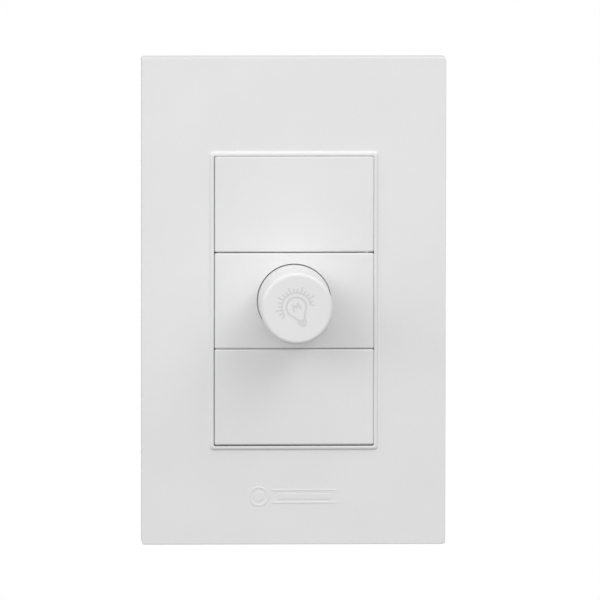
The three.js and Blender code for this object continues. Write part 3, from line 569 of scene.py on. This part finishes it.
def knob():
    """A hollow knob: a hub with a D-shaped bore, three webs across the front, a rounded front edge."""
    crown, drop = 0.9, 0.7
    outside = [(KNOB_R - 0.35, KNOB_FOOT), (KNOB_R - 0.12, KNOB_FOOT + 0.06), (KNOB_R, KNOB_FOOT + 0.3)]
    side_low, side_high = KNOB_FOOT + 0.5, KNOB_TOP - drop - 0.1
    for step in range(7):
        share = step / 6
        radius = KNOB_R + (KNOB_FRONT_R - KNOB_R) * share
        outside.append((radius, side_low + (side_high - side_low) * share))
    for step in range(13):
        angle = QUARTER_TURN * step / 12
        radius = KNOB_FRONT_R - crown + crown * math.cos(angle)
        outside.append((radius, KNOB_TOP - drop + drop * math.sin(angle)))
    outside += [(KNOB_FRONT_R - crown - 0.15, KNOB_TOP), (4.0, KNOB_TOP), (0.0, KNOB_TOP)]

    bore_r, bore_end, hub_r, hub_low = 3.1, 24.8, 4.6, 10.2
    hub = [(0.0, bore_end), (bore_r, bore_end), (bore_r, hub_low + 0.15), (bore_r + 0.15, hub_low)]
    hub += [(hub_r - 0.15, hub_low), (hub_r, hub_low + 0.15), (hub_r, 26.0)]
    hollow_r = 7.64
    hollow = [(hollow_r, 25.8), (hollow_r, KNOB_FOOT + 0.3), (hollow_r + 0.16, KNOB_FOOT + 0.02)]
    body = Shape()
    body.spindle(hub + hollow + outside, 160)

    for angle in (0, 60, 120):
        web = Shape()
        web.block(-8.0, -4.4, -0.5, 0.5, 21.0, 26.1)
        web.block(4.4, 8.0, -0.5, 0.5, 21.0, 26.1)
        web.turn(math.radians(angle) + KNOB_ANGLE)
        body.take(web)
    flat = Shape()
    flat.block(-2.75, 2.75, 1.6, 3.4, 11.3, bore_end, 0.08)
    flat.turn(KNOB_ANGLE)
    body.take(flat)
    return dress(body.build("knob_skin"), knob_white, "knob_rotor", "knob_plastic", "knob")


def ribbon(shape, path, width, top, closed=False):
    """A printed line of even width along a path of (x, y) points."""
    count = len(path)
    left, right = [], []
    for i, (x, y) in enumerate(path):
        before = path[(i - 1) % count] if closed or i else path[i]
        after = path[(i + 1) % count] if closed or i < count - 1 else path[i]
        coming = Vector((x - before[0], y - before[1])).normalized()
        going = Vector((after[0] - x, after[1] - y)).normalized()
        along = (coming + going).normalized()
        half = width / 2 / max(0.5, along.dot(coming), along.dot(going))
        left.append((x - along.y * half, y + along.x * half, top))
        right.append((x + along.y * half, y - along.x * half, top))
    base = [[(x, y, KNOB_TOP - 0.05) for x, y, _ in side] for side in (left, right)]
    rails = [shape.ring(line) for line in (base[0], left, right, base[1])]
    last = count if closed else count - 1
    for first, second in zip(rails, rails[1:]):
        for i in range(last):
            j = (i + 1) % count
            shape.bm.faces.new((first[i], first[j], second[j], second[i]))
    if not closed:
        for i in (0, -1):
            shape.bm.faces.new([rail[i] for rail in rails])


def knob_print():
    """The printed sign for brighter and darker: a lamp bulb under an arc with ticks."""
    top = KNOB_TOP + 0.012
    mark = Shape()
    bulb_y, bulb_r, bulb_start, bulb_sweep = 0.4, 2.43, -48, 276

    def polar(radius, degrees):
        angle = math.radians(degrees)
        return (radius * math.cos(angle), bulb_y + radius * math.sin(angle))

    bulb = [polar(bulb_r, bulb_start + bulb_sweep * step / 32) for step in range(33)]
    neck = [(-0.85, -2.75), (-0.85, -3.1), (0.85, -3.1), (0.85, -2.75)]
    ribbon(mark, bulb + neck, 0.5, top, closed=True)
    for i, width in enumerate((2.1, 2.0, 1.3)):
        y = -3.6 - 0.5 * i
        ribbon(mark, [(-width / 2, y), (width / 2, y)], 0.4, top)
    filament = [(-1.0, -0.5), (-0.65, 1.1), (0.0, 0.25), (0.65, 1.1), (1.0, -0.5)]
    ribbon(mark, filament, 0.5, top)

    arc_r, pitch, ticks_each_side, short, long = 3.55, 13.2, 8, 4.6, 5.2
    sweep = pitch * ticks_each_side
    ribbon(mark, [polar(arc_r, 90 + sweep * step / 24) for step in range(-24, 25)], 0.42, top)
    for i in range(-ticks_each_side, ticks_each_side + 1):
        reach = short if i % 3 else long
        ribbon(mark, [polar(r, 90 + pitch * i) for r in (arc_r + 0.2, reach)], 0.4, top)
    mark.turn(KNOB_ANGLE)
    return dress(mark.build("knob_print"), print_grey, "knob_rotor", "knob_plastic")


# ---------------------------------------------------------------- fasteners and winding


def threaded_shank(y):
    """The cut thread of a box screw, with a tapered start and a blunt tip."""
    radius, depth, pitch, tip, stop = 1.7, 0.34, 0.7, -19.0, 1.6
    count, steps_per_turn = 32, 14
    levels = int((stop - tip) / pitch * steps_per_turn)
    loops = []
    for level in range(levels + 1):
        z = tip + (stop - tip) * level / levels
        lead = 0.55 * max(0.0, 1 - (z - tip) / 1.6)
        runout = max(0.0, min(1.0, (stop - z) / 0.8))
        loop = []
        for i in range(count):
            angle = 2 * math.pi * i / count
            phase = (z / pitch - i / count) % 1.0
            groove = depth * max(0.0, 1 - abs(phase - 0.5) / 0.36)
            r = radius - groove * runout - lead
            loop.append((r * math.cos(angle), y + r * math.sin(angle), z))
        loops.append(loop)
    blunt = 0.4
    end = [(px * blunt, y + (py - y) * blunt, tip - 0.7) for px, py, _ in loops[0]]
    shank = Shape()
    shank.loft([end] + loops, start_cap=True, end_cap=True)
    return shank.build("stem")


def box_screw(name, y, node):
    """A box screw with a cut thread, a domed head and a slot."""
    head = Shape()
    dome = [(0.0, 2.3), (1.5, 2.3), (3.35, 2.3), (3.5, 2.42), (3.5, 3.45)]
    dome += [(3.42, 3.75), (3.1, 4.0), (2.5, 4.18), (1.4, 4.29), (0.0, 4.3)]
    head.spindle(dome, 48, 0.0, y)
    neck = Shape()
    neck.spindle([(0.0, 1.4), (1.7, 1.4), (1.7, 2.5), (0.0, 2.5)], 32, 0.0, y)
    screw = head.build(name)
    slot = Shape()
    slot.block(-4.0, 4.0, y - 0.5, y + 0.5, 3.3, 5.0, 0.05)
    carve(screw, slot.build("slot"))
    merge(screw, threaded_shank(y), neck.build("neck"))
    return dress(screw, zinc, "wall_unit", "zinc_steel", node)


def choke_turns():
    """Enamelled wire wound round the ferrite ring, with its two ends going down to the board."""
    x0, y0, front, rear, board = -9.2, 2.4, -10.62, -15.78, -9.9
    inner, outer, turns, steps, gap = 2.3, 5.4, 19, 16, math.radians(34)
    wire_r = 0.33
    path = []
    for i in range(turns * steps + 1):
        share = i / (turns * steps)
        around = gap / 2 + (2 * math.pi - gap) * share
        phase = 2 * math.pi * (i % steps) / steps
        swing, lift = math.cos(phase), math.sin(phase)
        square = max(abs(swing), abs(lift))
        radius = (inner + outer) / 2 + (outer - inner) / 2 * swing / square
        z = (front + rear) / 2 + (front - rear) / 2 * lift / square
        path.append((x0 + radius * math.cos(around), y0 + radius * math.sin(around), z))
    first, last = path[0], path[-1]
    path = [(first[0], first[1], board)] + path + [(last[0], last[1], board)]
    curve = bpy.data.curves.new("choke_turns", "CURVE")
    curve.dimensions = "3D"
    curve.bevel_depth = wire_r * MM
    curve.bevel_resolution = 2
    line = curve.splines.new("POLY")
    line.points.add(len(path) - 1)
    for point, place in zip(line.points, path):
        point.co = (*row(*place), 1.0)
    wire = bpy.data.objects.new("choke_turns", curve)
    bpy.context.scene.collection.objects.link(wire)
    curve.materials.append(copper)
    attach(wire, "wall_unit")
    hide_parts("choke_winding")
    return wire


cover_plate()
plate_marks()
blank_module("blank_top_skin", TOP_Y, "blank_module_top")
blank_module("blank_bottom_skin", BOTTOM_Y, "blank_module_bottom")
front_cap()
knob()
knob_print()
box_screw("box_screw_top", BOX_SCREW_Y, "mounting_screw_top")
box_screw("box_screw_bottom", -BOX_SCREW_Y, "mounting_screw_bottom")
choke_turns()


# ---------------------------------------------------------------- CAD nodes that stay


def keep(node, material, edge):
    """Gives a CAD node its material and takes the sharpness off its edges."""
    thing = nodes[node]
    thing.data.materials.clear()
    thing.data.materials.append(material)
    weld = thing.modifiers.new("weld", "WELD")
    weld.merge_threshold = 2e-6
    flat = thing.modifiers.new("flatten", "DECIMATE")
    flat.decimate_type = "DISSOLVE"
    flat.angle_limit = math.radians(1.0)
    if edge:
        bevel = thing.modifiers.new("edges", "BEVEL")
        bevel.width = edge * MM
        bevel.segments = 2
        bevel.limit_method = "ANGLE"
        bevel.angle_limit = math.radians(38.0)
        bevel.use_clamp_overlap = True
        bevel.harden_normals = False
    weigh_normals(thing, 80)


# The material of each CAD node that stays, and how far its edges are rounded, in millimetres.
KEPT = {
    "support_frame": (frame_grey, 0.2),
    "dimmer_housing": (housing_grey, 0.15),
    "pot_bushing": (brass, 0.08),
    "pot_lock_washer": (zinc, 0.04),
    "pot_nut": (zinc, 0.12),
    "pot_wafer": (phenolic, 0.05),
    "pot_carbon_track": (carbon, 0.0),
    "pot_can": (zinc, 0.06),
    "pot_pin_left": (tin, 0.04),
    "pot_pin_middle": (tin, 0.04),
    "pot_pin_right": (tin, 0.04),
    "circuit_board": (laminate, 0.04),
    "triac_body": (black_epoxy, 0.15),
    "triac_tab": (tin, 0.08),
    "triac_leg_left": (tin, 0.04),
    "triac_leg_middle": (tin, 0.04),
    "triac_leg_right": (tin, 0.04),
    "heat_sink": (aluminium, 0.1),
    "heat_sink_screw": (zinc, 0.15),
    "choke_core": (ferrite, 0.3),
    "mains_capacitor": (film_box, 0.3),
    "timing_capacitor": (dipped, 0.5),
    "timing_resistor": (timing_bands, 0.15),
    "snubber_resistor": (snubber_bands, 0.15),
    "trigger_diac": (diac_glass, 0.15),
    "fuse": (fuse_sand, 0.12),
    "terminal_cage_line": (brass, 0.15),
    "terminal_cage_load": (brass, 0.15),
    "terminal_screw_line": (zinc, 0.15),
    "terminal_screw_load": (zinc, 0.15),
    "knob_clip": (spring, 0.05),
    "pot_shaft": (turned_aluminium, 0.06),
    "shaft_retaining_ring": (spring, 0.05),
    "pot_rotor": (black_epoxy, 0.08),
    "pot_wiper": (bronze, 0.0),
}
for node, (material, edge) in KEPT.items():
    keep(node, material, edge)


# ---------------------------------------------------------------- stage, light and camera

scene = bpy.context.scene


def outward(azimuth, elevation):
    """The way out of the wall: azimuth to the right of straight ahead, elevation above it, in degrees."""
    a, e = math.radians(azimuth), math.radians(elevation)
    return Vector((math.sin(a) * math.cos(e), -math.cos(a) * math.cos(e), math.sin(e)))


def soft_light(name, azimuth, elevation, power):
    """A square soft box one metre from the plate and aimed at it."""
    side, distance = 0.45, 1.0
    out = outward(azimuth, elevation)
    lamp = bpy.data.lights.new(name, "AREA")
    lamp.shape = "RECTANGLE"
    lamp.size, lamp.size_y = side, side
    lamp.energy = power
    box = bpy.data.objects.new(name, lamp)
    box.location = out * distance
    box.rotation_euler = (-out).to_track_quat("-Z", "Y").to_euler()
    box.visible_camera = False
    scene.collection.objects.link(box)


soft_light("key_front", 0, 0, 1.36)
soft_light("key_left", -30, 20, 1.66)
soft_light("key_right", 30, 35, 1.42)
soft_light("high_right", 60, 50, 1.72)
soft_light("side_left", -75, 20, 1.7)
soft_light("top", 0, 75, 1.0)


def studio(low, high, behind):
    """The room's light in front of the wall plane, from low to high, and behind it; it looks white."""
    world = bpy.data.worlds.new("studio")
    scene.world = world
    world.use_nodes = True
    sky = world.node_tree
    sky.nodes.clear()
    split = add(sky, "ShaderNodeSeparateXYZ")
    sky.links.new(add(sky, "ShaderNodeTexCoord").outputs["Generated"], split.inputs[0])
    lit = add(sky, "ShaderNodeBackground", Color=(1.0, 1.0, 1.0, 1.0))
    front = spread(sky, split.outputs["Z"], low, high, -0.3, 0.3)
    strength = spread(sky, split.outputs["Y"], 0.0, behind, 0.0, 0.25)
    sky.links.new(front, strength.node.inputs["To Min"])
    sky.links.new(strength, lit.inputs["Strength"])
    seen = add(sky, "ShaderNodeBackground", Color=(1.0, 1.0, 1.0, 1.0), Strength=1.0)
    ray = add(sky, "ShaderNodeLightPath")
    either = add(sky, "ShaderNodeMixShader")
    out = add(sky, "ShaderNodeOutputWorld")
    sky.links.new(ray.outputs["Is Camera Ray"], either.inputs[0])
    sky.links.new(lit.outputs[0], either.inputs[1])
    sky.links.new(seen.outputs[0], either.inputs[2])
    sky.links.new(either.outputs[0], out.inputs["Surface"])


studio(0.23, 0.60, 0.6)


def pale_floor(reach, level):
    """A square floor below the plate, in metres; it adds nothing to the light on the plate."""
    mesh = bpy.data.meshes.new("floor")
    around = ((-1, -1), (1, -1), (1, 1), (-1, 1))
    mesh.from_pydata([(x * reach, y * reach, level) for x, y in around], [], [(0, 1, 2, 3)])
    mesh.materials.append(moulded("floor_white", (0.88, 0.88, 0.88), 0.7, grain=300.0))
    floor = bpy.data.objects.new("floor", mesh)
    scene.collection.objects.link(floor)
    floor.visible_diffuse = False
    floor.visible_glossy = False
    return floor


floor = pale_floor(0.2, -0.105)

scene.view_settings.view_transform = "Standard"
scene.view_settings.look = "None"

AZIMUTH, ELEVATION, ROLL = -2.1, 5.5, 0.075  # degrees
DISTANCE, FIELD, SENSOR = 2.8, 147.85, 36.0  # metres away; millimetres across the view and the sensor
AIM_X, AIM_Y = 1.425, 0.28

back = outward(AZIMUTH, ELEVATION)
lens = bpy.data.cameras.new("camera")
lens.sensor_width = SENSOR
lens.lens = SENSOR * DISTANCE / (FIELD * MM)
camera = bpy.data.objects.new("camera", lens)
camera.location = Vector(row(AIM_X, AIM_Y, FACE_Z)) + back * DISTANCE
upright = (-back).to_track_quat("-Z", "Y")
camera.rotation_euler = (upright @ Quaternion((0.0, 0.0, 1.0), math.radians(ROLL))).to_euler()
scene.collection.objects.link(camera)
scene.camera = camera
